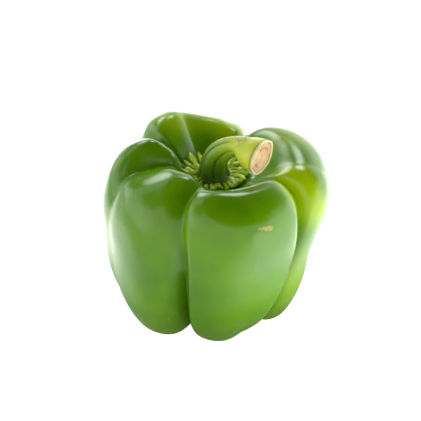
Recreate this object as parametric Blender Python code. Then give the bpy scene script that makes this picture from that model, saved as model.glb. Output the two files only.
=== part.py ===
"""A green bell pepper standing on the feet of its lobes, with its calyx and its cut stem.

Run it with: blender --background --python part.py
Lengths in the tables are millimetres, and MM turns them into Blender's metres.
"""

import math

import bmesh
import bpy
from mathutils import Vector

MM = 0.001
GAP = 0.3  # the thin gap left between pieces that touch
FLOOR = 1.2  # the level at which the feet are flattened
FINE = 1  # levels of every Subdivision Surface

# The fruit is a cage of meridians and rings, which a Subdivision Surface rounds off.
# An outline runs from the calyx seat over the crest and down the side to the blossom end.
# Its stations are (distance from the axis, height), and some have rings between them.
SEAT = ((9.0, 63.3), (14.5, 63.6))
BLOSSOM = ((13.5, 4.0), (6.0, 9.0))
RINGS_BETWEEN = (1, 1, 1, 2, 2, 2, 2, 2, 1, 1)
SEAT_HEIGHT = 63.3
BLOSSOM_HEIGHT = 9.5

# Four lobes, each of two halves that meet in a shallow fold.
# A half's middle line: inner slope, crest, shoulder, belly, waist, flank and foot.
LOBES = (
    (
        ((17, 72.5), (25, 79.5), (39.5, 73), (46.5, 56), (46.5, 35), (44, 16), (33, -1)),
        ((15.5, 72), (21.5, 77), (37, 70.5), (45.5, 56), (46, 35), (44, 16), (32.5, -2)),
    ),
    (
        ((19.5, 67.0), (26, 75.8), (39.5, 71.8), (45.5, 57), (43, 35), (39, 15), (27.5, -1.5)),
        ((19, 68.2), (26.3, 75.2), (38.5, 71.2), (44.7, 57), (42, 35), (36.5, 15), (23.5, 1)),
    ),
    (
        ((18.5, 66), (28, 73), (42.5, 70.5), (46.5, 54), (39, 33), (36.5, 15), (27.5, -2)),
        ((18.5, 68), (27, 75.3), (42.5, 71), (47.5, 54), (39.5, 33), (37, 15), (27.5, -2)),
    ),
    (
        ((18.5, 66.5), (27, 71.5), (39, 67.5), (45, 54), (42, 35), (38, 15), (26.5, -2)),
        ((18.5, 69.5), (28, 78), (41.5, 73.5), (46, 56), (43, 35), (39, 15), (27.5, -2)),
    ),
)
GROOVE = (
    (18.0, 64.3),
    (25.0, 65.3),
    (32.5, 61.0),
    (36.0, 49.0),
    (34.0, 33.0),
    (29.5, 18.0),
    (21.0, 8.5),
)

# The groove before each lobe: its azimuth, and its depth as a share of the full groove,
# on the inner slope, at the crest, on the side and at the foot.
# Azimuth 0 is +X and it grows towards +Y.
GROOVES = (
    ((155, 152, 150, 150), (0.7, 1.0, 1.0, 1.0)),
    ((258, 248, 251, 248), (0.15, 0.6, 1.0, 1.0)),
    ((334, 334, 324, 308), (0.5, 0.9, 1.0, 1.0)),
    ((426, 426, 426, 426), (0.7, 1.0, 1.0, 1.0)),
)
# The fold in the middle of each lobe, in the same way.
FOLDS = (
    ((184, 188, 196, 198), (0.6, 0.6, 0.15, 0.2)),
    ((285, 285, 289, 290), (0.05, 0.0, 0.0, 0.15)),
    ((348, 352, 362, 364), (0.3, 0.05, 0.05, 0.15)),
    ((480, 475, 466, 466), (0.35, 0.0, 0.05, 0.2)),
)
ZONES = (0.12, 0.27, 0.5, 0.85)  # how far along the outline those four places lie
SHARES = (0.0, 0.15, 0.38, 0.62, 0.85)  # where a half's meridians lie between groove and fold
ROUNDNESS = (2.8, 3.0, 2.8, 2.8)  # the power of the superellipse across each lobe
# Single swellings and hollows of the wall: where, how far they reach, and how the wall moves there.
PUSHES = (
    ((-8, 28, 76), 17, (0, 0, 2.2)),
    ((-30, 22, 66), 15, (1.8, -0.6, 0)),
    ((10, 32, 72), 10, (0, 0, -1.2)),
    ((-16, 0, 71), 8, (0, 0, 2.2)),
    ((-25, -9, 73), 14, (0, 0, -1.4)),
    ((-38, -5, 68), 13, (-0.3, 0, 1.2)),
    ((-8, -17, 70), 10, (0, -0.4, 2.0)),
)


# The calyx is a disc of fused sepals: (distance from its middle, height over the seat).
CALYX_OUTLINE = ((7.0, 1.9), (9.6, 1.7), (11.8, 1.9), (13.0, 2.0), (12.2, 0.95), (8.0, GAP))
CALYX_RIDGE = (0.0, 0.25, 0.35, 0.35, 0.2, 0.0)  # how far its veins stand out, at each of those
CALYX_TOP = 1.9
CALYX_VEINS = 12
CALYX_LOBES = 6
CALYX_WAVE = 0.035  # how much its margin goes in and out between the sepals, as a share

# The stem hooks over: each station is (x, y, height over the calyx) and its radius.
STEM = (
    ((-1.3, -2.2, 0.0), 6.5),
    ((-1.3, -2.1, 2.6), 5.6),
    ((-0.9, -2.0, 6.2), 5.0),
    ((0.3, -2.3, 9.7), 4.6),
    ((2.4, -3.6, 13.0), 4.1),
    ((5.0, -5.3, 15.8), 3.6),
    ((7.5, -7.1, 17.5), 3.5),
    ((9.7, -8.7, 17.8), 4.5),
    ((13.2, -11.1, 16.8), 6.4),
    ((17.7, -14.3, 16.3), 7.2),
)
STEM_RIDGES = 5
STEM_RIDGE = 0.07  # height of a ridge, as a share of the radius

FRUIT_GREEN = (0.11, 0.27, 0.025)
CALYX_GREEN = (0.13, 0.25, 0.02)
STEM_GREEN = (0.33, 0.45, 0.06)


def mix(a, b, share):
    return tuple(p + (q - p) * share for p, q in zip(a, b))


def spline(before, start, end, after, t):
    """Catmull-Rom point between start and end."""
    return tuple(
        0.5 * (2 * b + (c - a) * t + (2 * a - 5 * b + 4 * c - d) * t**2 + (3 * b - 3 * c + d - a) * t**3)
        for a, b, c, d in zip(before, start, end, after)
    )


def outline(stations):
    """The stations with the rings between them, on one smooth curve."""
    points = [*SEAT, *stations, *BLOSSOM]
    found = []
    for i, steps in enumerate(RINGS_BETWEEN):
        before = points[max(0, i - 1)]
        after = points[min(len(points) - 1, i + 2)]
        for step in range(steps):
            found.append(spline(before, points[i], points[i + 1], after, step / steps))
    return [*found, points[-1]]


def along(values, t):
    """Value at t, 0 at the seat and 1 at the blossom end, eased between those of the four zones."""
    if t <= ZONES[0]:
        return values[0]
    for near, far, a, b in zip(ZONES, ZONES[1:], values, values[1:]):
        if t <= far:
            share = (t - near) / (far - near)
            return a + (b - a) * share * share * (3 - 2 * share)
    return values[-1]


def fullness(across, power):
    """How full a lobe is across its width: 0 in the grooves beside it and 1 in its middle."""
    return (1 - abs(2 * across - 1) ** power) ** (1 / power)


def cage_rings():
    """Rings of (x, y, z) in metres, from the calyx seat to the blossom end."""
    valley = outline(GROOVE)
    halves = [outline(half) for lobe in LOBES for half in lobe]
    bounds = [bound for pair in zip(GROOVES, FOLDS) for bound in pair]
    count = len(halves)
    rings = []
    for k in range(len(valley)):
        t = k / (len(valley) - 1)
        ring = []
        for i, half in enumerate(halves):
            first = i % 2 == 0
            start = along(bounds[i][0], t)
            end = along(bounds[(i + 1) % count][0], t) + (360 if i == count - 1 else 0)
            groove = bounds[i if first else (i + 1) % count]
            fold = bounds[i + 1 if first else i]
            for share in SHARES:
                beside = halves[i - 1 if share < 0.5 else (i + 1) % count]
                ridge = mix(half[k], beside[k], 0.5 * abs(2 * share - 1) ** 2)
                across = share / 2 if first else (1 + share) / 2
                to_fold = abs(2 * across - 1)
                dip = (1 - fullness(across, ROUNDNESS[i // 2])) * along(groove[1], t)
                dip += along(fold[1], t) * max(0.0, 1 - to_fold / 0.5) ** 2
                r, z = mix(ridge, valley[k], dip)
                azimuth = math.radians(start + (end - start) * share)
                ring.append((r * math.cos(azimuth) * MM, r * math.sin(azimuth) * MM, z * MM))
        rings.append(ring)
    return rings


def add_material(obj, colour, roughness):
    """A plain material for one object."""
    material = bpy.data.materials.new(obj.name)
    material.use_nodes = True
    shader = material.node_tree.nodes["Principled BSDF"]
    shader.inputs["Base Color"].default_value = (*colour, 1)
    shader.inputs["Roughness"].default_value = roughness
    shader.inputs["Metallic"].default_value = 0.0
    obj.data.materials.append(material)


def loft(name, rings, first, last, sharp_ends=False):
    """A closed object: rings of points joined by quads, with a middle point or a flat cap at the ends."""
    bm = bmesh.new()
    loops = [[bm.verts.new(point) for point in ring] for ring in rings]
    for upper, lower in zip(loops, loops[1:]):
        for j, vertex in enumerate(upper):
            n = (j + 1) % len(upper)
            bm.faces.new((vertex, lower[j], lower[n], upper[n]))
    crease = bm.edges.layers.float.new("crease_edge")
    for loop, middle in ((loops[0], first), (loops[-1], last)):
        if sharp_ends:
            cap = bm.faces.new(loop)
            for edge in cap.edges:
                edge[crease] = 1.0
                edge.smooth = False
            continue
        centre = bm.verts.new(middle)
        for j, vertex in enumerate(loop):
            bm.faces.new((vertex, loop[(j + 1) % len(loop)], centre))
    bmesh.ops.recalc_face_normals(bm, faces=bm.faces)
    mesh = bpy.data.meshes.new(name)
    bm.to_mesh(mesh)
    bm.free()
    obj = bpy.data.objects.new(name, mesh)
    bpy.context.scene.collection.objects.link(obj)
    rounding = obj.modifiers.new("rounding", "SUBSURF")
    rounding.levels = rounding.render_levels = FINE
    return obj


def apply_modifiers(obj):
    """Replaces an object's mesh with the one its modifiers make."""
    evaluated = obj.evaluated_get(bpy.context.evaluated_depsgraph_get())
    obj.data = bpy.data.meshes.new_from_object(evaluated)
    obj.modifiers.clear()


def push_wall(obj):
    """Moves the wall where it swells out or sinks in."""
    for vertex in obj.data.vertices:
        move = Vector()
        for centre, reach, push in PUSHES:
            near = 1 - ((vertex.co / MM - Vector(centre)).length / reach) ** 2
            move += Vector(push) * max(0.0, near) ** 2
        vertex.co += move * MM


def flatten_feet(obj):
    """Cuts the object level at the floor and closes the cuts, so that it stands on flat spots."""
    bm = bmesh.new()
    bm.from_mesh(obj.data)
    everything = [*bm.verts, *bm.edges, *bm.faces]
    floor = (0, 0, FLOOR * MM)
    bmesh.ops.bisect_plane(bm, geom=everything, plane_co=floor, plane_no=(0, 0, -1), clear_outer=True)
    bmesh.ops.holes_fill(bm, edges=[edge for edge in bm.edges if edge.is_boundary])
    bm.to_mesh(obj.data)
    bm.free()


def make_fruit():
    """The fruit, which grew as one piece."""
    seat_middle = (0, 0, SEAT_HEIGHT * MM)
    blossom_middle = (0, 0, BLOSSOM_HEIGHT * MM)
    fruit = loft("fruit", cage_rings(), seat_middle, blossom_middle)
    apply_modifiers(fruit)
    push_wall(fruit)
    flatten_feet(fruit)
    add_material(fruit, FRUIT_GREEN, 0.25)
    return fruit


def make_calyx():
    """The calyx, a disc of fused sepals with raised veins, on the fruit's seat."""
    count = 2 * CALYX_VEINS
    rings = []
    for (radius, height), ridge in zip(CALYX_OUTLINE, CALYX_RIDGE):
        ring = []
        for j in range(count):
            azimuth = 2 * math.pi * j / count
            reach = radius * (1 + CALYX_WAVE * math.cos(CALYX_LOBES * azimuth) * (ridge > 0))
            rise = SEAT_HEIGHT + height + ridge * (-1) ** j
            ring.append((reach * math.cos(azimuth) * MM, reach * math.sin(azimuth) * MM, rise * MM))
        rings.append(ring)
    top = (0, 0, (SEAT_HEIGHT + CALYX_TOP) * MM)
    underside = (0, 0, (SEAT_HEIGHT + GAP) * MM)
    calyx = loft("calyx", rings, top, underside)
    add_material(calyx, CALYX_GREEN, 0.5)
    return calyx


def make_stem():
    """The stem, a ridged hook that widens to the cut at its end."""
    foot = (SEAT_HEIGHT + CALYX_TOP + GAP) * MM
    middles = [Vector((x * MM, y * MM, z * MM + foot)) for (x, y, z), radius in STEM]
    count = 2 * STEM_RIDGES
    side = Vector((1, 0, 0))
    rings = []
    for i, ((_, radius), middle) in enumerate(zip(STEM, middles)):
        after = middles[min(i + 1, len(STEM) - 1)]
        before = middles[max(i - 1, 0)]
        ahead = (after - before).normalized() if i else Vector((0, 0, 1))
        side = (side - ahead * side.dot(ahead)).normalized()
        across = ahead.cross(side)
        ring = []
        for j in range(count):
            turn = 2 * math.pi * j / count
            reach = radius * MM * (1 + STEM_RIDGE * (-1) ** j)
            ring.append(middle + (side * math.cos(turn) + across * math.sin(turn)) * reach)
        rings.append(ring)
    stem = loft("stem", rings, None, None, sharp_ends=True)
    add_material(stem, STEM_GREEN, 0.45)
    return stem


def move_origin(objects):
    """Puts the origin at the middle of the whole pepper's box, on the surface it stands on."""
    depsgraph = bpy.context.evaluated_depsgraph_get()
    points = []
    for obj in objects:
        points.extend(Vector(corner) for corner in obj.evaluated_get(depsgraph).bound_box)
    shift = Vector()
    for axis in range(2):
        values = [point[axis] for point in points]
        shift[axis] = -(min(values) + max(values)) / 2
    shift.z = -FLOOR * MM
    for obj in objects:
        for vertex in obj.data.vertices:
            vertex.co += shift


def clear_scene():
    for obj in list(bpy.data.objects):
        bpy.data.objects.remove(obj, do_unlink=True)


def main():
    clear_scene()
    pepper = [make_fruit(), make_calyx(), make_stem()]
    for obj in pepper:
        obj.data.shade_smooth()
    move_origin(pepper)


main()
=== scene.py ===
# %% [markdown]
# # A green bell pepper
# A lesson in modelling one fruit. The pod grew as a single piece with four lobes. On top of it sit
# the calyx, a crinkled disc of fused sepals, and the stem, a ridged stalk that was cut from its plant.
# The imported model gives the place and the size of every piece, so it is loaded first.

# %% Load the imported model
import math

import bmesh
import bpy
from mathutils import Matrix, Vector, noise


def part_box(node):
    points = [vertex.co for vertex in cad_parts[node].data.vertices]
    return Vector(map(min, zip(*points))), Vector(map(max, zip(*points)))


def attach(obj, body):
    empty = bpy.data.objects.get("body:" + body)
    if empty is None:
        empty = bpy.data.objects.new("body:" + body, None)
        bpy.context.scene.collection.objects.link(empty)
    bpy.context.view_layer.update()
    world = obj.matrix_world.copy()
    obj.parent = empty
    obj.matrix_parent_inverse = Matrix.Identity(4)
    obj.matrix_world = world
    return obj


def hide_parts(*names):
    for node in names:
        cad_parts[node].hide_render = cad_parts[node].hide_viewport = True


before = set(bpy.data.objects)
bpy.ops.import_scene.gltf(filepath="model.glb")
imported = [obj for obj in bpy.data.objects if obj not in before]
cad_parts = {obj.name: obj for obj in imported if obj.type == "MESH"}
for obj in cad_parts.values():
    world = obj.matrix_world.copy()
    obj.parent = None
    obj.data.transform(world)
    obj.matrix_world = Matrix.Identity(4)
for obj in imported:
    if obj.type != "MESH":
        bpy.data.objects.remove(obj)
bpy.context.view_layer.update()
MM = 0.001

# %% [markdown]
# ## The camera
# The pepper is seen from 35 degrees above, from three quarters of a metre, with a long lens that
# keeps the lobes from looking stretched. The camera could follow a target with a constraint, but one
# turn towards the target is enough for a still. Its target needs the fruit's place, so this helper is
# called near the end.

# %% Helper that places the camera
VIEW_FROM_ABOVE = math.radians(35)
DISTANCE = 0.75
LENS = 158


def place_camera(target):
    """A camera in front of the pepper that looks down at the target."""
    back = Vector((0, -math.cos(VIEW_FROM_ABOVE), math.sin(VIEW_FROM_ABOVE)))
    bpy.ops.object.camera_add(location=target + back * DISTANCE)
    camera = bpy.context.object
    camera.rotation_euler = (-back).to_track_quat("-Z", "Y").to_euler()
    camera.data.lens = LENS
    bpy.context.scene.camera = camera
    print("camera:", [round(v, 3) for v in camera.location], "metres")
    return camera


# %% [markdown]
# ## Lofting by hand
# A pepper, its calyx and its stem are all closed skins over a stack of rings. By hand, one starts
# with a circle, extrudes its edge to get the next ring, moves that ring into shape, and repeats this
# to the other end. The helper below does just that. A subdivision surface then rounds the cage off,
# which is easier to steer than sculpting, because every point of the cage has a meaning.

# %% Helpers for a cage of rings
def deselect_all():
    bpy.ops.object.select_all(action="DESELECT")


def shape_ring(loop, points):
    for vertex, point in zip(loop, points):
        vertex.co = point


def extrude_ring(mesh, loop, points):
    """Extrudes the selected ring of edges and moves the new ring to the points."""
    bpy.ops.mesh.extrude_edges_move()
    bm = bmesh.from_edit_mesh(mesh)
    bm.verts.ensure_lookup_table()
    found = []
    for index in loop:
        above = bm.verts[index]
        found.append(next(e.other_vert(above) for e in above.link_edges if e.other_vert(above).select))
    shape_ring(found, points)
    bm.verts.index_update()
    bmesh.update_edit_mesh(mesh)
    return [vertex.index for vertex in found]


def close_end(mesh, middle):
    """Closes the selected ring: with a fan to a middle point, or with one flat face if there is none."""
    if middle is None:
        bpy.ops.mesh.edge_face_add()
        return
    bpy.ops.mesh.extrude_edges_move()
    bpy.ops.mesh.merge(type="CENTER")
    bm = bmesh.from_edit_mesh(mesh)
    for vertex in bm.verts:
        if vertex.select:
            vertex.co = middle
    bmesh.update_edit_mesh(mesh)


# %% [markdown]
# ## Marks, lofting and rounding off
# A material can read numbers stored on the points of a mesh, such as how deep in a groove a point
# lies. They could be painted on by hand, but here they are stored while the rings are still known,
# and the subdivision surface spreads them smoothly over the finer mesh.

# %% Helper that stores marks on the rings
def paint(piece, name, loops, marks):
    """Stores one number for each point of the rings, which the material can read by its name."""
    values = piece.data.attributes.new(name, "FLOAT", "POINT").data
    for loop, ring in zip(loops, marks):
        for index, mark in zip(loop, ring):
            values[index].value = mark


# %% Helpers that loft and round off
def loft(name, rings, first_middle, last_middle, marks):
    """One closed piece, extruded ring after ring from a circle, with its first ring on top."""
    deselect_all()
    bpy.ops.mesh.primitive_circle_add(vertices=len(rings[0]), radius=10 * MM, location=(0, 0, 0))
    piece = bpy.context.object
    piece.name = piece.data.name = name
    mesh = piece.data
    bpy.ops.object.mode_set(mode="EDIT")
    bpy.ops.mesh.select_mode(type="VERT")
    bpy.ops.mesh.select_all(action="SELECT")
    bm = bmesh.from_edit_mesh(mesh)
    bm.verts.ensure_lookup_table()
    shape_ring(bm.verts, rings[0])
    bmesh.update_edit_mesh(mesh)
    loops = [list(range(len(rings[0])))]
    for ring in rings[1:]:
        loops.append(extrude_ring(mesh, loops[-1], ring))
    close_end(mesh, last_middle)
    bpy.ops.mesh.select_all(action="DESELECT")
    bm = bmesh.from_edit_mesh(mesh)
    bm.verts.ensure_lookup_table()
    for index in range(len(rings[0])):
        bm.verts[index].select = True
    bm.select_flush_mode()
    bmesh.update_edit_mesh(mesh)
    close_end(mesh, first_middle)
    bpy.ops.mesh.select_all(action="SELECT")
    bpy.ops.mesh.normals_make_consistent(inside=False)
    bpy.ops.object.mode_set(mode="OBJECT")
    for mark, values in marks.items():
        paint(piece, mark, loops, values)
    return piece


def round_off(piece, levels):
    """Adds a subdivision surface and applies it."""
    bpy.context.view_layer.objects.active = piece
    rounding = piece.modifiers.new("rounding", "SUBSURF")
    rounding.levels = rounding.render_levels = levels
    bpy.ops.object.modifier_apply(modifier=rounding.name)


# %% [markdown]
# ## The shape of the fruit
# Each of the four lobes is really two halves with a shallow fold between them. A half is drawn as one
# outline, from the dish round the calyx over the crest, down the side and under the foot. The deep
# grooves between the lobes share one outline of their own. Across a lobe the surface follows a
# superellipse, full in the middle and steep at the grooves, as the walls of a real pepper are.

# %% The outlines, in millimetres
SEAT = ((9.0, 63.3), (14.5, 63.6))
SEAT_HEIGHT = 63.3
BLOSSOM = ((13.5, 4.0), (6.0, 9.0))
BLOSSOM_HEIGHT = 9.5
FLOOR = 1.2
RINGS_BETWEEN = (1, 1, 1, 2, 2, 2, 2, 2, 1, 1)

# Inner slope, crest, shoulder, belly, waist, flank and foot, as (distance from the axis, height).
LOBES = (
    (
        ((17, 72.5), (25, 79.5), (39.5, 73), (46.5, 56), (46.5, 35), (44, 16), (33, -1)),
        ((15.5, 72), (21.5, 77), (37, 70.5), (45.5, 56), (46, 35), (44, 16), (32.5, -2)),
    ),
    (
        ((19.5, 67.0), (26, 75.8), (39.5, 71.8), (45.5, 57), (43, 35), (39, 15), (27.5, -1.5)),
        ((19, 68.2), (26.3, 75.2), (38.5, 71.2), (44.7, 57), (42, 35), (36.5, 15), (23.5, 1)),
    ),
    (
        ((18.5, 66), (28, 73), (42.5, 70.5), (46.5, 54), (39, 33), (36.5, 15), (27.5, -2)),
        ((18.5, 68), (27, 75.3), (42.5, 71), (47.5, 54), (39.5, 33), (37, 15), (27.5, -2)),
    ),
    (
        ((18.5, 66.5), (27, 71.5), (39, 67.5), (45, 54), (42, 35), (38, 15), (26.5, -2)),
        ((18.5, 69.5), (28, 78), (41.5, 73.5), (46, 56), (43, 35), (39, 15), (27.5, -2)),
    ),
)
GROOVE = (
    (18.0, 64.3),
    (25.0, 65.3),
    (32.5, 61.0),
    (36.0, 49.0),
    (34.0, 33.0),
    (29.5, 18.0),
    (21.0, 8.5),
)

# The groove before each lobe: its azimuth, and its depth as a share of the full groove,
# on the inner slope, at the crest, on the side and at the foot.
# Azimuth 0 is +X and it grows towards +Y.
GROOVES = (
    ((155, 152, 150, 150), (0.7, 1.0, 1.0, 1.0)),
    ((258, 248, 251, 248), (0.15, 0.6, 1.0, 1.0)),
    ((334, 334, 324, 308), (0.5, 0.9, 1.0, 1.0)),
    ((426, 426, 426, 426), (0.7, 1.0, 1.0, 1.0)),
)
# The fold in the middle of each lobe, in the same way.
FOLDS = (
    ((184, 188, 196, 198), (0.6, 0.6, 0.15, 0.2)),
    ((285, 285, 289, 290), (0.05, 0.0, 0.0, 0.15)),
    ((348, 352, 362, 364), (0.3, 0.05, 0.05, 0.15)),
    ((480, 475, 466, 466), (0.35, 0.0, 0.05, 0.2)),
)
ZONES = (0.12, 0.27, 0.5, 0.85)  # how far along the outline those four places lie
SHARES = (0.0, 0.06, 0.16, 0.32, 0.52, 0.7, 0.87)  # where a half's meridians lie between groove and fold
ROUNDNESS = (2.8, 3.0, 2.8, 2.8)  # the power of the superellipse across each lobe
FOLD_WIDTH = 0.5  # half the width of a fold, as a share of half a lobe
print("outlines:", len(LOBES), "lobes,", sum(RINGS_BETWEEN) + 1, "rings")

# %% [markdown]
# ## From outlines to rings
# The few points of an outline are joined by one smooth spline, and each ring of the cage is read off
# at the same step of every outline. The cage could be pulled into shape point by point, but outlines
# keep the lobes smooth, and one number changes a whole groove.

# %% Helpers for the outlines
def mix(a, b, share):
    return tuple(p + (q - p) * share for p, q in zip(a, b))


def spline(before, start, end, after, t):
    """Catmull-Rom point between start and end."""
    return tuple(
        0.5 * (2 * b + (c - a) * t + (2 * a - 5 * b + 4 * c - d) * t**2 + (3 * b - 3 * c + d - a) * t**3)
        for a, b, c, d in zip(before, start, end, after)
    )


def outline(stations):
    """The stations with the rings between them, on one smooth curve."""
    points = [*SEAT, *stations, *BLOSSOM]
    found = []
    for i, steps in enumerate(RINGS_BETWEEN):
        before = points[max(0, i - 1)]
        after = points[min(len(points) - 1, i + 2)]
        for step in range(steps):
            found.append(spline(before, points[i], points[i + 1], after, step / steps))
    return [*found, points[-1]]


# %% Helpers for the width of a lobe
def along(values, t):
    """Value at t, 0 at the seat and 1 at the blossom end, eased between those of the four zones."""
    if t <= ZONES[0]:
        return values[0]
    for near, far, a, b in zip(ZONES, ZONES[1:], values, values[1:]):
        if t <= far:
            share = (t - near) / (far - near)
            return a + (b - a) * share * share * (3 - 2 * share)
    return values[-1]


def fullness(across, power):
    """How full a lobe is across its width: 0 in the grooves beside it and 1 in its middle."""
    return (1 - abs(2 * across - 1) ** power) ** (1 / power)


# %% The rings of the fruit
def cage_rings():
    """Rings of (x, y, z) in metres, from the calyx seat to the blossom end, and their marks."""
    valley = outline(GROOVE)
    halves = [outline(half) for lobe in LOBES for half in lobe]
    bounds = [bound for pair in zip(GROOVES, FOLDS) for bound in pair]
    count = len(halves)
    rings = []
    marks = {"valley": [], "down": []}
    for k in range(len(valley)):
        t = k / (len(valley) - 1)
        ring = []
        depths = []
        for i, half in enumerate(halves):
            first = i % 2 == 0
            start = along(bounds[i][0], t)
            end = along(bounds[(i + 1) % count][0], t) + (360 if i == count - 1 else 0)
            groove = bounds[i if first else (i + 1) % count]
            fold = bounds[i + 1 if first else i]
            for share in SHARES:
                beside = halves[i - 1 if share < 0.5 else (i + 1) % count]
                ridge = mix(half[k], beside[k], 0.5 * abs(2 * share - 1) ** 2)
                across = share / 2 if first else (1 + share) / 2
                to_fold = abs(2 * across - 1)
                dip = (1 - fullness(across, ROUNDNESS[i // 2])) * along(groove[1], t)
                dip += along(fold[1], t) * max(0.0, 1 - to_fold / FOLD_WIDTH) ** 2
                r, z = mix(ridge, valley[k], dip)
                azimuth = math.radians(start + (end - start) * share)
                ring.append((r * math.cos(azimuth) * MM, r * math.sin(azimuth) * MM, z * MM))
                depths.append(dip)
        rings.append(ring)
        marks["valley"].append(depths)
        marks["down"].append([t] * len(ring))
    return rings, marks


# %% [markdown]
# ## Making the fruit
# The rings are lofted, rounded off, and cut level at the floor, because a pepper's feet are a little
# flattened where it rests. A real wall is never quite even, so the skin is also pushed in and out,
# by a fraction of a millimetre everywhere and by one or two millimetres in a few places. Sculpting
# could do this too, but it can't be repeated exactly. Then the fruit is moved to where the packed
# one stands.

# %% Helper that keeps the grooves sharp
FINE = 3  # subdivision levels
GROOVE_CREASE = 0.6  # how sharp the bottom of a groove stays
DEEPEST = 0.99  # a point is at the bottom of a groove above this mark


def sharpen_grooves(piece):
    """Creases the edges that run along the bottoms of the grooves."""
    depth = [mark.value for mark in piece.data.attributes["valley"].data]
    down = [mark.value for mark in piece.data.attributes["down"].data]
    creases = piece.data.attributes.new("crease_edge", "FLOAT", "EDGE").data
    for edge, crease in zip(piece.data.edges, creases):
        a, b = edge.vertices
        if min(depth[a], depth[b]) > DEEPEST and down[a] != down[b]:
            crease.value = GROOVE_CREASE


# %% Helper that makes the wall uneven
SWELLINGS = ((45, 0.45), (110, 0.14))  # unevenness of the wall: how close together, and how high in mm
# Single bumps and hollows: where, how far they reach, and how the wall moves there, all in mm.
PUSHES = (
    ((-8, 28, 76), 17, (0, 0, 2.2)),
    ((-30, 22, 66), 15, (1.8, -0.6, 0)),
    ((10, 32, 72), 10, (0, 0, -1.2)),
    ((-16, 0, 71), 8, (0, 0, 2.2)),
    ((-25, -9, 73), 14, (0, 0, -1.4)),
    ((-38, -5, 68), 13, (-0.3, 0, 1.2)),
    ((-8, -17, 70), 10, (0, -0.4, 2.0)),
)


def swell(piece):
    """Pushes the wall in and out, everywhere a little and in a few places more."""
    normals = [vertex.normal.copy() for vertex in piece.data.vertices]
    for vertex, normal in zip(piece.data.vertices, normals):
        move = normal * sum(noise.noise(vertex.co * pitch) * height for pitch, height in SWELLINGS)
        for centre, reach, push in PUSHES:
            near = 1 - ((vertex.co / MM - Vector(centre)).length / reach) ** 2
            move += Vector(push) * max(0.0, near) ** 2
        vertex.co += move * MM


# %% Helpers that cut the feet and place a piece
def flatten_feet(piece):
    """Cuts the piece level at the floor and closes the cuts."""
    bpy.ops.object.mode_set(mode="EDIT")
    bpy.ops.mesh.select_all(action="SELECT")
    floor = (0, 0, FLOOR * MM)
    bpy.ops.mesh.bisect(plane_co=floor, plane_no=(0, 0, 1), clear_inner=True, use_fill=True)
    bpy.ops.object.mode_set(mode="OBJECT")


def middle_of(low, high):
    return (low + high) / 2


def box_of(piece):
    points = [vertex.co for vertex in piece.data.vertices]
    low = Vector([min(point[axis] for point in points) for axis in range(3)])
    high = Vector([max(point[axis] for point in points) for axis in range(3)])
    return low, high


def move_mesh(piece, shift):
    for vertex in piece.data.vertices:
        vertex.co += shift


# %% Make the fruit
rings, marks = cage_rings()
fruit = loft("pepper_fruit", rings, (0, 0, SEAT_HEIGHT * MM), (0, 0, BLOSSOM_HEIGHT * MM), marks)
sharpen_grooves(fruit)
round_off(fruit, FINE)
swell(fruit)
flatten_feet(fruit)
fruit.data.shade_smooth()
SHIFT = middle_of(*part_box("fruit")) - middle_of(*box_of(fruit))
SHIFT.z = -FLOOR * MM
move_mesh(fruit, SHIFT)
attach(fruit, "root")
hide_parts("fruit")
print("fruit:", len(fruit.data.polygons), "faces; moved by", [round(v / MM, 2) for v in SHIFT], "mm")

# %% [markdown]
# ## The calyx
# The sepals of the flower grew together into a disc that lies in the dish of the fruit. It is lofted
# like the fruit, as a flat cushion, and then crinkled point by point: ribs run out from the stem,
# wander a little, and are crossed by finer wrinkles. Some ribs end in a pointed tip. Separate sepals
# would be another way, but grown together they have no gaps between them.

# %% The rings of the calyx
CALYX_RADIUS = 12.6
CALYX_SIDES = 96
# distance from the middle as a share, and height over the seat
CALYX_OUTLINE = (
    (0.35, 2.3),
    (0.45, 1.7),
    (0.56, 1.4),
    (0.68, 1.3),
    (0.8, 1.45),
    (0.9, 1.75),
    (0.97, 1.9),
    (1.0, 1.5),
    (0.96, 0.9),
    (0.8, 0.4),
    (0.5, 0.3),
)


def calyx_rings():
    rings = []
    for share, height in CALYX_OUTLINE:
        ring = []
        for j in range(CALYX_SIDES):
            azimuth = 2 * math.pi * j / CALYX_SIDES
            radius = CALYX_RADIUS * share
            place = (radius * math.cos(azimuth), radius * math.sin(azimuth), SEAT_HEIGHT + height)
            ring.append(Vector(place) * MM)
        rings.append(ring)
    return rings


# %% Helpers for the ribs
CALYX_RIBS = 20
RIB_HEIGHT = 1.35
FINE_WRINKLE = 0.45
TOP_FROM, TOP_OVER = 0.6, 0.8  # where the ribs begin above the seat, and over how many millimetres
RIBS_FROM, RIBS_OVER = 0.35, 0.35  # the same outwards, as shares of the radius
RIM_FROM, RIM_OVER = 0.72, 0.28  # the rim, also as shares of the radius
LIFTED_SIDE = 0.35  # radians from -X towards +Y to the side whose rim lifts most
TIP_LIFT = 1.6


def clamp(value):
    return max(0.0, min(1.0, value))


def rib_at(x, y):
    """Height of the rib at a place, 0 in a furrow and 1 on a crest."""
    azimuth = math.atan2(y, x)
    radius = math.hypot(x, y)
    wander = noise.noise(Vector((x, y, 0)) * 0.2) * 4.5 + noise.noise(Vector((x, y, 7)) * 0.5) * 1.6
    bend = CALYX_RIBS * azimuth + wander + 0.12 * (radius - 6)
    return 1 - abs(math.sin(bend / 2)) ** 1.7


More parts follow.
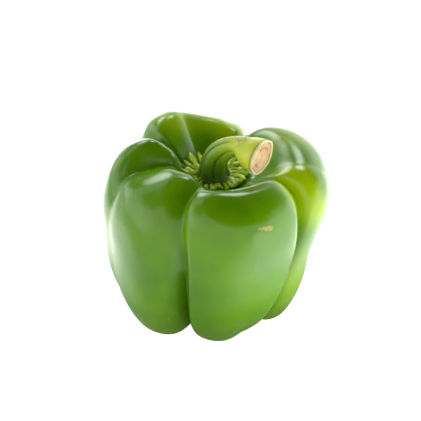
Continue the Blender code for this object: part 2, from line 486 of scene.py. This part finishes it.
def crinkle(piece):
    """Raises the ribs, stretches some of them into tips, and adds the fine wrinkles."""
    marks = piece.data.attributes.new("rib", "FLOAT", "POINT").data
    for vertex, mark in zip(piece.data.vertices, marks):
        x, y, z = vertex.co / MM
        radius = math.hypot(x, y)
        share = radius / CALYX_RADIUS
        top = clamp((z - SEAT_HEIGHT - TOP_FROM) / TOP_OVER)
        rib = rib_at(x, y)
        out = clamp((share - RIBS_FROM) / RIBS_OVER)
        wrinkle = noise.noise(Vector((x, y, z)) * 0.95)
        uneven = 0.8 + 0.9 * noise.noise(Vector((x, y, 3)) * 0.3)
        lift = (RIB_HEIGHT * rib * uneven + FINE_WRINKLE * wrinkle) * out * top
        left = max(0.0, -math.cos(math.atan2(y, x) + LIFTED_SIDE))
        edge = max(0.0, share - RIM_FROM) / RIM_OVER
        tip = edge * (0.14 * rib * (0.6 + 1.2 * left) + 0.09 * noise.noise(Vector((x, y, 5)) * 0.3) - 0.05)
        lift += edge * edge * left * TIP_LIFT * (0.3 + rib)
        vertex.co.x *= 1 + tip
        vertex.co.y *= 1 + tip
        vertex.co.z += lift * MM
        mark.value = rib * top


# %% Make the calyx
CALYX_MIDDLES = (2.4, 0.3)  # heights over the seat of the middles of its top and its underside
top_middle, under_middle = ((0, 0, (SEAT_HEIGHT + height) * MM) for height in CALYX_MIDDLES)
calyx = loft("pepper_calyx", calyx_rings(), top_middle, under_middle, {})
round_off(calyx, 2)
crinkle(calyx)
calyx.data.shade_smooth()
move_mesh(calyx, SHIFT)
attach(calyx, "root")
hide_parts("calyx")
print("calyx:", len(calyx.data.polygons), "faces")

# %% [markdown]
# ## The stem
# The stem rises from the calyx, hooks over and widens to the place where it was cut. Five blunt
# ridges run along it and fade out towards the cut. The end is inset and sunk a little, because the
# skin dries into a thin lip round the paler wood. A curve with a bevel would give the hook as well,
# but not the ridges, which turn a little as they climb.

# %% The middle line of the stem
CALYX_TOP = 1.9
STEM = (
    ((-1.3, -2.2, 0.0), 6.5),
    ((-1.3, -2.1, 2.6), 5.6),
    ((-0.9, -2.0, 6.2), 5.0),
    ((0.3, -2.3, 9.7), 4.6),
    ((2.4, -3.6, 13.0), 4.1),
    ((5.0, -5.3, 15.8), 3.6),
    ((7.5, -7.1, 17.5), 3.5),
    ((9.7, -8.7, 17.8), 4.5),
    ((13.2, -11.1, 16.8), 6.4),
    ((17.7, -14.3, 16.3), 7.2),
)
STEM_STEPS = 8


def stem_stations():
    """The stem's middle line and radius, with extra stations on the curve between the given ones."""
    found = []
    for i in range(len(STEM) - 1):
        four = [STEM[min(max(k, 0), len(STEM) - 1)] for k in (i - 1, i, i + 1, i + 2)]
        for step in range(STEM_STEPS):
            t = step / STEM_STEPS
            middle = Vector(spline(*[station[0] for station in four], t))
            (radius,) = spline(*[(station[1],) for station in four], t)
            found.append((middle, radius))
    found.append((Vector(STEM[-1][0]), STEM[-1][1]))
    return found


# %% The rings of the stem
STEM_SIDES = 120
STEM_RIDGES = 5
RIDGE_DEPTH = 0.26  # as a share of the radius
RIDGE_LEFT = 0.12  # the share of that depth that stays up to the cut
RIDGES_GONE, RIDGES_OVER = 0.86, 0.25  # where the ridges have faded, and over what share of the stem
# the painted shade in the stem's furrows fades out towards the cut
FURROW_SHADE_FROM, FURROW_SHADE_OVER = 0.6, 0.25  # where the dark of the furrows starts to fade, and over what share
RIDGE_START, RIDGE_TWIST = 0.4, 0.25  # in radians
STEM_ROUGHNESS = ((0.35, 0.03), (1.1, 0.012))  # how fine the bumps are, and how high as a share


def stem_rings():
    """Rings from the calyx to the cut, with marks: how far along they are, and how near a ridge."""
    stations = stem_stations()
    last = len(stations) - 1
    foot = Vector((0, 0, SEAT_HEIGHT + CALYX_TOP))
    side = Vector((1, 0, 0))
    rings = []
    marks = {"along": [], "ridge": []}
    for i, (middle, radius) in enumerate(stations):
        ahead = (stations[min(i + 1, last)][0] - stations[max(i - 1, 0)][0]).normalized()
        side = (side - ahead * side.dot(ahead)).normalized()
        across = ahead.cross(side)
        t = i / last
        depth = RIDGE_DEPTH * max(RIDGE_LEFT, min(1.0, (RIDGES_GONE - t) / RIDGES_OVER))
        ring = []
        crests = []
        for j in range(STEM_SIDES):
            turn = 2 * math.pi * j / STEM_SIDES
            phase = STEM_RIDGES * (turn - RIDGE_START + RIDGE_TWIST * math.sin(3 * t)) / 2
            ridge = abs(math.cos(phase)) ** 0.55
            place = middle + (side * math.cos(turn) + across * math.sin(turn)) * radius
            rough = sum(height * noise.noise(place * pitch) for pitch, height in STEM_ROUGHNESS)
            reach = radius * (1 + depth * (ridge - 0.65) + rough)
            ring.append((foot + middle + (side * math.cos(turn) + across * math.sin(turn)) * reach) * MM)
            # the ridge mark rises to 1 towards the cut, where the painted shade in the furrows ends
            crests.append(max(ridge, clamp((t - FURROW_SHADE_FROM) / FURROW_SHADE_OVER)))
        rings.append(ring)
        marks["along"].append([t] * STEM_SIDES)
        marks["ridge"].append(crests)
    return rings, marks


# %% Helper that sinks the cut
LIP_WIDTH = 0.35
LIP_SLOPE = 0.3
CUT_DEPTH = 0.35


def sink_cut(piece):
    """Insets the end face and sinks it, which leaves a thin lip round the wood."""
    deselect_all()
    piece.select_set(True)
    bpy.context.view_layer.objects.active = piece
    bpy.ops.object.mode_set(mode="EDIT")
    bpy.ops.mesh.select_mode(type="FACE")
    bpy.ops.mesh.select_all(action="DESELECT")
    bm = bmesh.from_edit_mesh(piece.data)
    ends = [face for face in bm.faces if len(face.verts) == STEM_SIDES]
    cut = max(ends, key=lambda face: face.calc_center_median().z)
    cut.select = True
    inward = -cut.normal.copy()
    bmesh.update_edit_mesh(piece.data)
    bpy.ops.mesh.inset(thickness=LIP_WIDTH * MM)
    bpy.ops.mesh.inset(thickness=LIP_SLOPE * MM)
    bpy.ops.transform.translate(value=inward * CUT_DEPTH * MM)
    bm = bmesh.from_edit_mesh(piece.data)
    for face in bm.faces:
        if face.select:
            face.material_index = 1
    bmesh.update_edit_mesh(piece.data)
    bpy.ops.mesh.select_mode(type="VERT")
    bpy.ops.object.mode_set(mode="OBJECT")


# %% Make the stem
SHARP_ANGLE = math.radians(40)
rings, marks = stem_rings()
stem = loft("pepper_stem", rings, None, None, marks)
sink_cut(stem)
stem.data.shade_smooth()
move_mesh(stem, SHIFT)
bpy.context.view_layer.objects.active = stem
bpy.ops.object.shade_smooth_by_angle(angle=SHARP_ANGLE)
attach(stem, "root")
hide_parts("stem")
print("stem:", len(stem.data.polygons), "faces")

# %% [markdown]
# ## Shared effects
# Skin, calyx and stem share a few effects, so each effect is one node group with named inputs:
# mottling, soft patches, specks, streaks and fine dents. A material only says how strong they are.
# Nodes could be copied into each material instead, but then a change would have to be made in each.

# %% Helpers that add nodes and groups
def add_node(tree, kind, inputs=None, **options):
    """Adds a shader node, sets its options, and links or sets its inputs."""
    node = tree.nodes.new("ShaderNode" + kind)
    for key, value in options.items():
        setattr(node, key, value)
    for key, value in (inputs or {}).items():
        if isinstance(value, bpy.types.NodeSocket):
            tree.links.new(value, node.inputs[key])
        else:
            node.inputs[key].default_value = value
    return node


def new_group(name, inputs, outputs):
    """An empty node group. Inputs are (name, type, default), and outputs are (name, type)."""
    tree = bpy.data.node_groups.new(name, "ShaderNodeTree")
    for socket, kind, default in inputs:
        made = tree.interface.new_socket(socket, in_out="INPUT", socket_type="NodeSocket" + kind)
        made.default_value = default
    for socket, kind in outputs:
        tree.interface.new_socket(socket, in_out="OUTPUT", socket_type="NodeSocket" + kind)
    return tree, tree.nodes.new("NodeGroupInput").outputs, tree.nodes.new("NodeGroupOutput").inputs


def use_group(tree, group, **inputs):
    node = tree.nodes.new("ShaderNodeGroup")
    node.node_tree = group
    for key, value in inputs.items():
        socket = node.inputs[key.replace("_", " ")]
        if isinstance(value, bpy.types.NodeSocket):
            tree.links.new(value, socket)
        else:
            socket.default_value = value
    return node.outputs


# %% Helpers that change values and colours
def remap(tree, value, low, high, start, end):
    """Eases a value from its range low..high to start..end."""
    inputs = {"Value": value, "From Min": low, "From Max": high, "To Min": start, "To Max": end}
    return add_node(tree, "MapRange", inputs, interpolation_type="SMOOTHSTEP").outputs["Result"]


def calculate(tree, operation, a, b):
    return add_node(tree, "Math", {0: a, 1: b}, operation=operation).outputs[0]


def blend(tree, share, a, b):
    """A colour between a and b."""
    mixed = add_node(tree, "Mix", {"Factor": share}, data_type="RGBA")
    for socket, colour in ((mixed.inputs[6], a), (mixed.inputs[7], b)):
        if isinstance(colour, bpy.types.NodeSocket):
            tree.links.new(colour, socket)
        else:
            socket.default_value = (*colour, 1)
    return mixed.outputs[2]


# %% [markdown]
# ## Five effects
# Mottling and dents are cloudy noise. A soft patch is a distance from its centre, made uneven by more
# noise. Specks are the middles of some cells of a Voronoi pattern, and streaks are noise that is
# stretched along the fruit. Painted images could show the same, but noise has no seams and no limit
# to how near one may look.

# %% Mottling and soft patches
def mottle_group():
    """Cloudy light and dark areas."""
    inputs = (("Vector", "Vector", (0, 0, 0)), ("Scale", "Float", 40.0), ("Softness", "Float", 0.2))
    tree, given, wanted = new_group("mottle", inputs, (("Mask", "Float"),))
    clouds = add_node(tree, "TexNoise", {"Vector": given["Vector"], "Scale": given["Scale"], "Detail": 3.0})
    low = calculate(tree, "SUBTRACT", 0.5, given["Softness"])
    high = calculate(tree, "ADD", 0.5, given["Softness"])
    mask = remap(tree, clouds.outputs["Fac"], low, high, 0.0, 1.0)
    tree.links.new(mask, wanted["Mask"])
    return tree


def patch_group():
    """One soft patch with an uneven edge."""
    inputs = (("Vector", "Vector", (0, 0, 0)), ("Centre", "Vector", (0, 0, 0)), ("Radius", "Float", 0.01))
    tree, given, wanted = new_group("soft_patch", inputs, (("Mask", "Float"),))
    away = add_node(tree, "VectorMath", {0: given["Vector"], 1: given["Centre"]}, operation="DISTANCE")
    clouds = add_node(tree, "TexNoise", {"Vector": given["Vector"], "Scale": 40.0, "Detail": 1.0})
    uneven = remap(tree, clouds.outputs["Fac"], 0.25, 0.75, 0.75, 1.35)
    share = calculate(tree, "DIVIDE", away.outputs["Value"], given["Radius"])
    share = calculate(tree, "MULTIPLY", share, uneven)
    tree.links.new(remap(tree, share, 0.25, 1.0, 1.0, 0.0), wanted["Mask"])
    return tree


# %% Specks and streaks
def speck_group():
    """Small round dots, scattered at random."""
    inputs = (
        ("Vector", "Vector", (0, 0, 0)),
        ("Scale", "Float", 100.0),
        ("Size", "Float", 0.05),
        ("Share", "Float", 0.3),
    )
    tree, given, wanted = new_group("specks", inputs, (("Mask", "Float"),))
    cells = add_node(tree, "TexVoronoi", {"Vector": given["Vector"], "Scale": given["Scale"]})
    away = calculate(tree, "DIVIDE", cells.outputs["Distance"], given["Size"])
    dot = remap(tree, away, 0.5, 1.0, 1.0, 0.0)
    chance = add_node(tree, "SeparateColor", {"Color": cells.outputs["Color"]}).outputs["Red"]
    chosen = calculate(tree, "LESS_THAN", chance, given["Share"])
    tree.links.new(calculate(tree, "MULTIPLY", dot, chosen), wanted["Mask"])
    return tree


def streak_group():
    """Long thin stripes that follow the stretch of the coordinates."""
    inputs = (
        ("Vector", "Vector", (0, 0, 0)),
        ("Stretch", "Vector", (1, 1, 0.1)),
        ("Scale", "Float", 200.0),
    )
    tree, given, wanted = new_group("streaks", inputs, (("Mask", "Float"),))
    place = add_node(tree, "VectorMath", {0: given["Vector"], 1: given["Stretch"]}, operation="MULTIPLY")
    lines = {"Vector": place.outputs["Vector"], "Scale": given["Scale"], "Detail": 4.0, "Roughness": 0.6}
    fibres = add_node(tree, "TexNoise", lines)
    tree.links.new(remap(tree, fibres.outputs["Fac"], 0.35, 0.65, 0.0, 1.0), wanted["Mask"])
    return tree


# %% Dents, and all the effects built once
def dent_group():
    """Shallow dents in the surface."""
    inputs = (
        ("Vector", "Vector", (0, 0, 0)),
        ("Scale", "Float", 200.0),
        ("Depth", "Float", 0.0001),
        ("Strength", "Float", 1.0),
    )
    tree, given, wanted = new_group("dents", inputs, (("Normal", "Vector"),))
    clouds = add_node(tree, "TexNoise", {"Vector": given["Vector"], "Scale": given["Scale"], "Detail": 2.0})
    height = {"Height": clouds.outputs["Fac"], "Distance": given["Depth"], "Strength": given["Strength"]}
    tree.links.new(add_node(tree, "Bump", height).outputs["Normal"], wanted["Normal"])
    return tree


MOTTLE, PATCH, SPECKS, STREAKS, DENTS = (
    mottle_group(),
    patch_group(),
    speck_group(),
    streak_group(),
    dent_group(),
)
print("shared effects:", [group.name for group in bpy.data.node_groups])

# %% [markdown]
# ## The skin of the fruit
# A green pepper's skin is smooth and waxy, so it is glossy but not quite a mirror. Painted shade darkens it
# in the grooves; it is yellower in patches and towards the foot, and carries a few pale dots and one corky
# scar. The scar is a row of small soft patches, thin at one end and thick at the other, because a single
# patch would be a round blot.

# %% Colours of the skin
SKIN = (0.14, 0.335, 0.001)
SKIN_DEEP = (0.08, 0.235, 0.001)
SKIN_YELLOW = (0.42, 0.62, 0.001)
# painted shade for the bottoms of the grooves
SKIN_GROOVE_PAINTED_SHADE = (0.03, 0.13, 0.001)
CORK = (0.55, 0.48, 0.16)
YELLOW_PATCHES = (
    ((30, -13, 68), 15, 1.0),
    ((36, -14, 58), 13, 0.8),
    ((4, 34, 74), 20, 0.75),
    ((-16, 24, 77), 16, 0.5),
    ((28, 16, 74), 16, 0.4),
    ((30, -10, 24), 26, 0.32),
)
SCAR = ((15.8, -39.0, 65.3), (21.2, -37.5, 64.4))  # its two ends
SCAR_STEPS = 9
SCAR_RADIUS = (0.8, 0.7)  # at the first end, and how much is added up to the second, in mm
SCAR_WOBBLE = (0.3, 2.4)  # how far up and down in mm, and how fast
STREAK_SHARE = 0.10
DOT_SHARE = 0.45
FOOT_YELLOW = (0.68, 1.0, 0.0, 0.5)  # from and to along the outline, and the shares of colour there
# painted shade in the grooves, by depth
GROOVE_PAINTED_SHADE = (0.8, 1.0, 0.0, 0.4)  # the same by depth in the groove
SKIN_GLOSS = (0.14, 0.22)  # lowest and highest roughness
CORK_ROUGHNESS = 0.5  # added on the scar
print("skin:", len(YELLOW_PATCHES), "yellow patches, and a scar of", SCAR_STEPS, "spots")


def new_material(name):
    material = bpy.data.materials.new(name)
    material.use_nodes = True
    return material, material.node_tree, material.node_tree.nodes["Principled BSDF"]


def at(place):
    return Vector(place) * MM + SHIFT


# %% Material of the skin
def scar_mask(tree, place):
    """A thin crooked line of corky spots."""
    start, end = (Vector(point) for point in SCAR)
    height, pace = SCAR_WOBBLE
    cork = None
    ragged = use_group(tree, MOTTLE, Vector=place, Scale=700.0, Softness=0.15)["Mask"]
    for i in range(SCAR_STEPS):
        t = i / (SCAR_STEPS - 1)
        centre = start.lerp(end, t) + Vector((0, 0, height * math.sin(pace * i)))
        radius = (SCAR_RADIUS[0] + SCAR_RADIUS[1] * t) * MM
        spot = use_group(tree, PATCH, Vector=place, Centre=at(centre), Radius=radius)["Mask"]
        cork = spot if cork is None else calculate(tree, "MAXIMUM", cork, spot)
    return calculate(tree, "MULTIPLY", cork, remap(tree, ragged, 0.0, 1.0, 0.55, 1.0))


def skin_material():
    material, tree, shader = new_material("pepper_skin")
    place = add_node(tree, "TexCoord").outputs["Object"]
    valley = add_node(tree, "Attribute", attribute_name="valley").outputs["Fac"]
    down = add_node(tree, "Attribute", attribute_name="down").outputs["Fac"]
    colour = blend(tree, use_group(tree, MOTTLE, Vector=place, Scale=32.0)["Mask"], SKIN_DEEP, SKIN)
    lines = use_group(tree, STREAKS, Vector=place, Stretch=(1, 1, 0.12), Scale=260.0)["Mask"]
    colour = blend(tree, calculate(tree, "MULTIPLY", lines, STREAK_SHARE), colour, SKIN_DEEP)
    for centre, radius, strength in YELLOW_PATCHES:
        patch = use_group(tree, PATCH, Vector=place, Centre=at(centre), Radius=radius * MM)["Mask"]
        colour = blend(tree, calculate(tree, "MULTIPLY", patch, strength), colour, SKIN_YELLOW)
    colour = blend(tree, remap(tree, down, *FOOT_YELLOW), colour, SKIN_YELLOW)
    # painted shade darkens the grooves
    colour = blend(tree, remap(tree, valley, *GROOVE_PAINTED_SHADE), colour, SKIN_GROOVE_PAINTED_SHADE)
    dots = use_group(tree, SPECKS, Vector=place, Scale=95.0, Size=0.035, Share=0.3)["Mask"]
    colour = blend(tree, calculate(tree, "MULTIPLY", dots, DOT_SHARE), colour, CORK)
    cork = scar_mask(tree, place)
    colour = blend(tree, cork, colour, CORK)
    tree.links.new(colour, shader.inputs["Base Color"])
    cloudy = use_group(tree, MOTTLE, Vector=place, Scale=70.0)["Mask"]
    gloss = remap(tree, cloudy, 0.0, 1.0, *SKIN_GLOSS)
    gloss = calculate(tree, "ADD", gloss, calculate(tree, "MULTIPLY", cork, CORK_ROUGHNESS))
    tree.links.new(gloss, shader.inputs["Roughness"])
    dents = use_group(tree, DENTS, Vector=place, Scale=120.0, Depth=0.0006, Strength=0.2)["Normal"]
    tree.links.new(dents, shader.inputs["Normal"])
    return material


fruit.data.materials.append(skin_material())

# %% [markdown]
# ## Calyx and stem
# Both are duller than the fruit. The calyx is bright on its ribs, and its furrows are darkened with painted
# shade. The stem is green below and turns yellow towards the cut, where it carries some corky scribbles;
# painted shade darkens its foot and its furrows, and a soft patch of painted shade deepens the hollow under
# the hook. The marks stored on the rings tell the material where it is along the stem, which a pattern in
# space could not do round a bend.

# %% Colours of the calyx and the stem
RIB_GREEN = (0.66, 0.86, 0.03)
# painted shade for the furrows of the calyx
FURROW_PAINTED_SHADE = (0.08, 0.18, 0.002)
STEM_GREEN = (0.20, 0.38, 0.003)
# painted shade for the stem's foot, its furrows and the hollow under the hook
STEM_PAINTED_SHADE = (0.05, 0.12, 0.002)
STEM_YELLOW = (0.68, 0.76, 0.05)
STEM_PALE = (0.88, 0.80, 0.42)
STEM_CORK = (0.25, 0.22, 0.05)
WOOD_BROWN = (0.10, 0.04, 0.01)
CALYX_GLOSS = (0.32, 0.5)
STEM_GLOSS = (0.28, 0.42)
# a soft patch of painted shade in the hollow under the hook
HOLLOW_PAINTED_SHADE = ((1.5, -8, 68), 7.5)  # centre and radius, in mm
SCRIBBLES = ((9, -9.5, 88.5), 6.5)
print("calyx and stem: roughness", CALYX_GLOSS, STEM_GLOSS)


# %% Material of the calyx
def calyx_material():
    material, tree, shader = new_material("calyx_skin")
    place = add_node(tree, "TexCoord").outputs["Object"]
    rib = add_node(tree, "Attribute", attribute_name="rib").outputs["Fac"]
    # painted shade darkens the furrows between the ribs
    colour = blend(tree, remap(tree, rib, 0.05, 0.55, 0.0, 1.0), FURROW_PAINTED_SHADE, RIB_GREEN)
    cloudy = use_group(tree, MOTTLE, Vector=place, Scale=300.0)["Mask"]
    colour = blend(tree, calculate(tree, "MULTIPLY", cloudy, 0.2), colour, STEM_GREEN)
    tree.links.new(colour, shader.inputs["Base Color"])
    tree.links.new(remap(tree, cloudy, 0.0, 1.0, *CALYX_GLOSS), shader.inputs["Roughness"])
    dents = use_group(tree, DENTS, Vector=place, Scale=900.0, Depth=0.0004, Strength=0.5)["Normal"]
    tree.links.new(dents, shader.inputs["Normal"])
    return material


calyx.data.materials.append(calyx_material())


# %% Material of the stem
def stem_material():
    material, tree, shader = new_material("stem_skin")
    place = add_node(tree, "TexCoord").outputs["Object"]
    along_stem = add_node(tree, "Attribute", attribute_name="along").outputs["Fac"]
    ridge = add_node(tree, "Attribute", attribute_name="ridge").outputs["Fac"]
    # painted shade darkens the foot of the stem and the furrows between its ridges
    green = blend(tree, remap(tree, along_stem, 0.08, 0.5, 0.0, 1.0), STEM_PAINTED_SHADE, STEM_GREEN)
    green = blend(tree, remap(tree, ridge, 0.25, 0.75, 0.75, 0.0), green, STEM_PAINTED_SHADE)
    colour = blend(tree, remap(tree, along_stem, 0.35, 0.9, 0.0, 1.0), green, STEM_YELLOW)
    # painted shade: a soft dark patch in the hollow under the hook
    centre, radius = HOLLOW_PAINTED_SHADE
    painted_hollow_shade = use_group(tree, PATCH, Vector=place, Centre=at(centre), Radius=radius * MM)["Mask"]
    colour = blend(tree, calculate(tree, "MULTIPLY", painted_hollow_shade, 0.85), colour, STEM_PAINTED_SHADE)
    cloudy = use_group(tree, MOTTLE, Vector=place, Scale=220.0)["Mask"]
    colour = blend(tree, calculate(tree, "MULTIPLY", cloudy, 0.2), colour, STEM_GREEN)
    colour = blend(tree, remap(tree, along_stem, 0.95, 0.964, 0.0, 0.5), colour, WOOD_BROWN)
    colour = blend(tree, remap(tree, along_stem, 0.965, 0.985, 0.0, 0.95), colour, STEM_PALE)
    cells = add_node(tree, "TexVoronoi", {"Vector": place, "Scale": 420.0}, feature="DISTANCE_TO_EDGE")
    scribble = remap(tree, cells.outputs["Distance"], 0.0, 0.11, 0.9, 0.0)
    centre, radius = SCRIBBLES
    top = use_group(tree, PATCH, Vector=place, Centre=at(centre), Radius=radius * MM)["Mask"]
    colour = blend(tree, calculate(tree, "MULTIPLY", scribble, top), colour, STEM_CORK)
    tree.links.new(colour, shader.inputs["Base Color"])
    tree.links.new(remap(tree, cloudy, 0.0, 1.0, *STEM_GLOSS), shader.inputs["Roughness"])
    dents = use_group(tree, DENTS, Vector=place, Scale=600.0, Depth=0.0004, Strength=0.35)["Normal"]
    tree.links.new(dents, shader.inputs["Normal"])
    return material


stem.data.materials.append(stem_material())

# %% [markdown]
# ## The cut
# The cut end is dry wood: tan, a little pink, cracked, with a faint ring inside it and brown at its
# edge. The cracks could be cut into the mesh, but they are finer than the lip round the wood, so a
# Voronoi pattern draws them and small dents roughen the rest.

# %% Material of the cut
WOOD = (0.66, 0.48, 0.22)
WOOD_PINK = (0.58, 0.34, 0.18)
WOOD_ROUGHNESS = 0.75
EDGE_FROM, EDGE_TO = 5.8, 6.8  # where the brown edge begins and is full, in mm from the middle
RING_RADIUS = 4.1
RING_CORE, RING_END = 0.1, 0.5  # half the ring's width where it is full, and where it ends


def wood_material():
    material, tree, shader = new_material("cut_wood")
    place = add_node(tree, "TexCoord").outputs["Object"]
    cloudy = use_group(tree, MOTTLE, Vector=place, Scale=260.0)["Mask"]
    colour = blend(tree, cloudy, WOOD, WOOD_PINK)
    middle = Vector(STEM[-1][0]) + Vector((0, 0, SEAT_HEIGHT + CALYX_TOP))
    away = add_node(tree, "VectorMath", {0: place, 1: at(middle)}, operation="DISTANCE").outputs["Value"]
    colour = blend(tree, remap(tree, away, EDGE_FROM * MM, EDGE_TO * MM, 0.0, 0.7), colour, WOOD_BROWN)
    ring = calculate(tree, "ABSOLUTE", calculate(tree, "SUBTRACT", away, RING_RADIUS * MM), 0.0)
    ring = remap(tree, ring, RING_CORE * MM, RING_END * MM, 0.7, 0.0)
    ring = calculate(tree, "MULTIPLY", ring, cloudy)
    colour = blend(tree, ring, colour, WOOD_BROWN)
    cells = add_node(tree, "TexVoronoi", {"Vector": place, "Scale": 150.0}, feature="DISTANCE_TO_EDGE")
    crack = remap(tree, cells.outputs["Distance"], 0.0, 0.045, 0.85, 0.0)
    colour = blend(tree, calculate(tree, "MULTIPLY", crack, cloudy), colour, WOOD_BROWN)
    tree.links.new(colour, shader.inputs["Base Color"])
    shader.inputs["Roughness"].default_value = WOOD_ROUGHNESS
    dents = use_group(tree, DENTS, Vector=place, Scale=900.0, Depth=0.0006, Strength=0.6)["Normal"]
    tree.links.new(dents, shader.inputs["Normal"])
    return material


stem.data.materials.append(wood_material())
print("materials:", [material.name for material in bpy.data.materials if material.users])

# %% [markdown]
# ## The stage
# The pepper stands on a white floor in a white room that is open and dark overhead, so its upward faces
# stay deep green. A glossy skin shows its room: small round lights behind it make the white bands on
# the crests, weaker wide ones brighten the walls, and a floor that is brighter to the right and behind
# gives the flanks their soft white edges. Lamps could do it, but a bare lamp leaves a hard dot on wax,
# so the lights are soft round areas of the surroundings themselves.

# %% The lights of the room
WALL_LIGHT = 1.05
# azimuth, elevation, inner and outer radius in degrees, and strength
GLOWS = (
    (80, 46, 2, 12, 9.0),
    (115, 33, 3, 15, 6.0),
    (0, 0, 10, 40, 1.6),
    (40, 5, 10, 40, 1.4),
    (85, 0, 10, 35, 0.8),
    (135, -5, 8, 26, 1.0),
    (175, 0, 10, 40, 0.7),
    (-160, 16, 8, 30, 0.4),
)
# dark openings: the same, but with what they leave of the walls' light
CAPS = (
    (-15, 68, 51, 57, 0.005),
    (124, 16, 10, 20, 0.1),
    (92, 34, 8, 26, 0.5),
    (-178, 45, 8, 23, 0.15),
)
print("room:", len(GLOWS), "glows and", len(CAPS), "dark openings")


# %% Helpers for soft round lights
def direction(azimuth, elevation):
    a, e = math.radians(azimuth), math.radians(elevation)
    return Vector((math.cos(a) * math.cos(e), math.sin(a) * math.cos(e), math.sin(e)))


def glow_group():
    """A soft round glow in one direction."""
    inputs = (
        ("Vector", "Vector", (0, 0, 1)),
        ("Direction", "Vector", (0, 0, 1)),
        ("Inner", "Float", 1.0),
        ("Outer", "Float", 0.5),
    )
    tree, given, wanted = new_group("glow", inputs, (("Mask", "Float"),))
    pair = {0: given["Vector"], 1: given["Direction"]}
    facing = add_node(tree, "VectorMath", pair, operation="DOT_PRODUCT").outputs["Value"]
    mask = remap(tree, facing, given["Outer"], given["Inner"], 0.0, 1.0)
    tree.links.new(mask, wanted["Mask"])
    return tree


def round_light(tree, group, view, azimuth, elevation, inner, outer):
    """Mask of one round light, full inside the inner radius and gone outside the outer one."""
    edges = {"Inner": math.cos(math.radians(inner)), "Outer": math.cos(math.radians(outer))}
    towards = direction(azimuth, elevation)
    return use_group(tree, group, Vector=view, Direction=towards, **edges)["Mask"]


# %% The room
def surroundings():
    world = bpy.data.worlds.new("surroundings")
    world.use_nodes = True
    bpy.context.scene.world = world
    tree = world.node_tree
    glow = glow_group()
    view = add_node(tree, "TexCoord").outputs["Generated"]
    total = WALL_LIGHT
    for *place, left in CAPS:
        mask = round_light(tree, glow, view, *place)
        total = calculate(tree, "MULTIPLY", remap(tree, mask, 0.0, 1.0, 1.0, left), total)
    for *place, strength in GLOWS:
        mask = round_light(tree, glow, view, *place)
        total = calculate(tree, "ADD", total, calculate(tree, "MULTIPLY", mask, strength))
    tree.links.new(total, tree.nodes["Background"].inputs["Strength"])
    tree.nodes["Background"].inputs["Color"].default_value = (1, 1, 1, 1)


surroundings()
print("surroundings:", len(bpy.context.scene.world.node_tree.nodes), "nodes")

# %% [markdown]
# ## The floor
# The floor is plain white to the eye. On the pepper it works as one wide soft light, which starts a
# little away from the feet, so that they stay dark underneath, and is strongest to the right and
# behind. A lamp under a glass floor would do the same in a studio, but here the floor's own material
# gives the light.

# %% The floor's light
# Each row holds two distances in metres, and the values that the light eases between there.
FLOOR_START = (0.045, 0.085, 0.0, 0.35)  # away from the pepper
RIGHT_NEAR = ((0.75, 0.66, 0), (-0.07, 0.01, 1.0, 7.5))  # direction, and the row along it
RIGHT_FAR = ((0.94, 0.34, 0), (-0.06, 0.02, 1.0, 7.5))
BEHIND = ((0, 1, 0), (-0.07, 0.0, 0.0, 1.0))
BEHIND_FADE = (0.15, 0.35, 5.0, 1.0)
FLOOR_SIZE = 6


def along_floor(tree, place, way, row):
    """A value that eases along the floor in one direction."""
    pair = {0: place, 1: way}
    reach = add_node(tree, "VectorMath", pair, operation="DOT_PRODUCT").outputs["Value"]
    return remap(tree, reach, *row)


def floor_light(tree):
    place = add_node(tree, "TexCoord").outputs["Object"]
    away = add_node(tree, "VectorMath", {0: place}, operation="LENGTH").outputs["Value"]
    near = along_floor(tree, place, *RIGHT_NEAR)
    far = along_floor(tree, place, *RIGHT_FAR)
    right = calculate(tree, "MINIMUM", near, far)
    behind = along_floor(tree, place, *BEHIND)
    behind = calculate(tree, "MULTIPLY", behind, remap(tree, away, *BEHIND_FADE))
    strongest = calculate(tree, "MAXIMUM", right, behind)
    return calculate(tree, "MULTIPLY", remap(tree, away, *FLOOR_START), strongest)


# %% The floor
def add_floor():
    """A pale floor that looks plain white, but lights the pepper only softly."""
    bpy.ops.mesh.primitive_plane_add(size=FLOOR_SIZE)
    floor = bpy.context.object
    floor.name = "floor"
    material, tree, shader = new_material("pale_floor")
    shader.inputs["Base Color"].default_value = (0.8, 0.8, 0.8, 1)
    shader.inputs["Roughness"].default_value = 0.6
    shader.inputs["Specular IOR Level"].default_value = 0.0
    shader.inputs["Emission Color"].default_value = (1, 1, 1, 1)
    seen = add_node(tree, "LightPath").outputs["Is Camera Ray"]
    light = calculate(tree, "MAXIMUM", floor_light(tree), seen)
    tree.links.new(light, shader.inputs["Emission Strength"])
    floor.data.materials.append(material)
    print("floor:", FLOOR_SIZE, "metres wide")


add_floor()

# %% [markdown]
# ## The view and the end
# The camera aims a little over the middle of the fruit. The colours are shown plainly, without a film look,
# so that white stays white.

# %% Aim the camera
TARGET = (-2.5, 0, 46.5)  # in mm, before the shift
place_camera(Vector(TARGET) * MM + SHIFT)
bpy.context.scene.view_settings.view_transform = "Standard"
